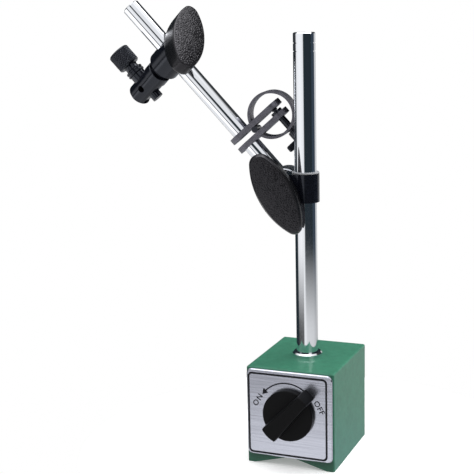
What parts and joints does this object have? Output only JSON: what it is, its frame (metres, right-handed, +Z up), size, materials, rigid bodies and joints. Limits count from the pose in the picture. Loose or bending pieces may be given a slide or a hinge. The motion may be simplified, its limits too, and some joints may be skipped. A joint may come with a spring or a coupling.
{
  "type": "magnetic indicator stand",
  "caption": "Switchable magnet base with a chromed column, a friction clamp, an arm with fine adjustment, and a swivelling indicator holder.",
  "frame": {"origin": "middle of the base's underside, on the plane it stands on, in the middle of the V-groove's mouth", "axes": "+Z up along the column; the switch and nameplate face -Y; +X to the right seen from the switch"},
  "size_m": [0.1476, 0.0729, 0.2522],
  "materials": {
    "green_paint": "gloss green enamel on iron",
    "brushed_plate": "brushed aluminium with a black frame line",
    "chrome": "hard chrome on ground steel",
    "switch_plastic": "satin black plastic",
    "lever_plastic": "black plastic with a grained face",
    "black_steel": "black oxide on steel",
    "satin_steel": "satin steel",
    "grey_steel": "dark grey phosphated spring steel",
    "liner": "pale plastic bush",
    "brass": "plain brass",
    "magnet": "sintered magnet and iron shoes"
  },
  "bodies": {
    "base": {"base_pole_left": "green_paint", "base_pole_right": "green_paint", "pole_spacer_bottom": "green_paint", "pole_spacer_top": "green_paint", "nameplate": "brushed_plate", "rear_cover": "black_steel", "rear_cover_screws": "black_steel", "rotor_bush_front": "brass", "rotor_bush_rear": "brass", "stop_pin": "black_steel", "column": "chrome", "column_foot_collar": "chrome"},
    "switch": {"switch_knob": "switch_plastic", "knob_set_screw": "black_steel", "rotor_front_cap": "brass", "rotor_rear_cap": "brass", "rotor_magnet": "magnet", "rotor_pole_shoes": "magnet"},
    "column_slider": {"column_liner": "liner"},
    "column_clamp": {"column_clamp": "black_steel"},
    "lower_swivel": {"lower_clamp_sleeve": "satin_steel", "lower_draw_stud": "satin_steel", "clamp_washer": "satin_steel"},
    "lower_lever": {"lower_lever": "lever_plastic", "lower_lever_insert": "brass"},
    "rod_roll": {"lower_rod_liner": "liner"},
    "lower_arm": {"lower_rod": "chrome", "lower_plate": "grey_steel", "pivot_roller": "black_steel", "ring_spring": "grey_steel", "fine_nut": "black_steel"},
    "fine_feed": {"thrust_pin": "black_steel"},
    "fine_screw": {"fine_screw": "black_steel", "fine_knob": "black_steel"},
    "upper_arm": {"upper_plate": "grey_steel", "upper_rod": "chrome"},
    "upper_slider": {"upper_rod_liner": "liner"},
    "upper_swivel": {"upper_clamp_sleeve": "black_steel", "upper_draw_stud": "black_steel", "holder_washer": "black_steel"},
    "upper_lever": {"upper_lever": "lever_plastic", "upper_lever_insert": "brass"},
    "holder": {"holder_head": "black_steel", "holder_grub_screw": "black_steel"},
    "jaw": {"jaw_pin": "black_steel"},
    "jaw_nut": {"jaw_nut": "black_steel"}
  },
  "joints": [
    {"name": "magnet_switch", "type": "hinge", "parent": "base", "child": "switch", "pos_m": [0, -0.03, 0.0304], "axis": [0, -1, 0], "range_deg": [0, 90]},
    {"name": "column_height", "type": "slide", "parent": "base", "child": "column_slider", "axis": [0, 0, 1], "range_m": [-0.065, 0.07]},
    {"name": "column_turn", "type": "hinge", "parent": "column_slider", "child": "column_clamp", "pos_m": [0, 0, 0.1495], "axis": [0, 0, 1], "continuous": true},
    {"name": "arm_swing", "type": "hinge", "parent": "column_clamp", "child": "lower_swivel", "pos_m": [-0.01371, -0.00229, 0.1495], "axis": [0.165, -0.9863, 0], "range_deg": [-30, 75]},
    {"name": "lower_lever_turn", "type": "hinge", "parent": "lower_swivel", "child": "lower_lever", "pos_m": [-0.01371, -0.00229, 0.1495], "axis": [0.165, -0.9863, 0], "range_deg": [-90, 90]},
    {"name": "arm_roll", "type": "hinge", "parent": "lower_swivel", "child": "rod_roll", "pos_m": [-0.0166, 0.01497, 0.1495], "axis": [-0.6522, -0.1091, 0.7501], "range_deg": [0, 150]},
    {"name": "arm_slide", "type": "slide", "parent": "rod_roll", "child": "lower_arm", "axis": [-0.6522, -0.1091, 0.7501], "range_m": [-0.008, 0.002]},
    {"name": "fine_feed", "type": "slide", "parent": "lower_arm", "child": "fine_feed", "axis": [-0.6522, -0.1091, 0.7501], "range_m": [-0.00076, 0.00076]},
    {"name": "fine_turn", "type": "hinge", "parent": "fine_feed", "child": "fine_screw", "pos_m": [0.0002, 0.01778, 0.16451], "axis": [-0.6522, -0.1091, 0.7501], "range_deg": [-540, 540]},
    {"name": "fine_rock", "type": "hinge", "parent": "lower_arm", "child": "upper_arm", "pos_m": [-0.03286, 0.01224, 0.18015], "axis": [0.165, -0.9863, 0], "range_deg": [-2.95, 2.95]},
    {"name": "upper_slide", "type": "slide", "parent": "upper_arm", "child": "upper_slider", "axis": [-0.6522, -0.1091, 0.7501], "range_m": [-0.02, 0.027]},
    {"name": "upper_roll", "type": "hinge", "parent": "upper_slider", "child": "upper_swivel", "pos_m": [-0.07934, 0.00447, 0.22166], "axis": [-0.6522, -0.1091, 0.7501], "continuous": true},
    {"name": "upper_lever_turn", "type": "hinge", "parent": "upper_swivel", "child": "upper_lever", "pos_m": [-0.07934, 0.00447, 0.22166], "axis": [0.7397, -0.3079, 0.5984], "range_deg": [-90, 90]},
    {"name": "holder_turn", "type": "hinge", "parent": "upper_swivel", "child": "holder", "pos_m": [-0.07934, 0.00447, 0.22166], "axis": [0.7397, -0.3079, 0.5984], "continuous": true},
    {"name": "jaw_draw", "type": "slide", "parent": "holder", "child": "jaw", "axis": [-0.6522, -0.1091, 0.7501], "range_m": [0, 0.00071]},
    {"name": "jaw_nut_turn", "type": "hinge", "parent": "holder", "child": "jaw_nut", "pos_m": [-0.10109, 0.01352, 0.20407], "axis": [0.6522, 0.1091, -0.7501], "range_deg": [0, 360]}
  ],
  "couplings": [
    {"joint": "fine_feed", "follows": "fine_turn", "m_per_rad": 0.000079577},
    {"joint": "fine_rock", "follows": "fine_turn", "ratio": 0.0053769},
    {"joint": "jaw_draw", "follows": "jaw_nut_turn", "m_per_rad": 0.00011141}
  ]
}
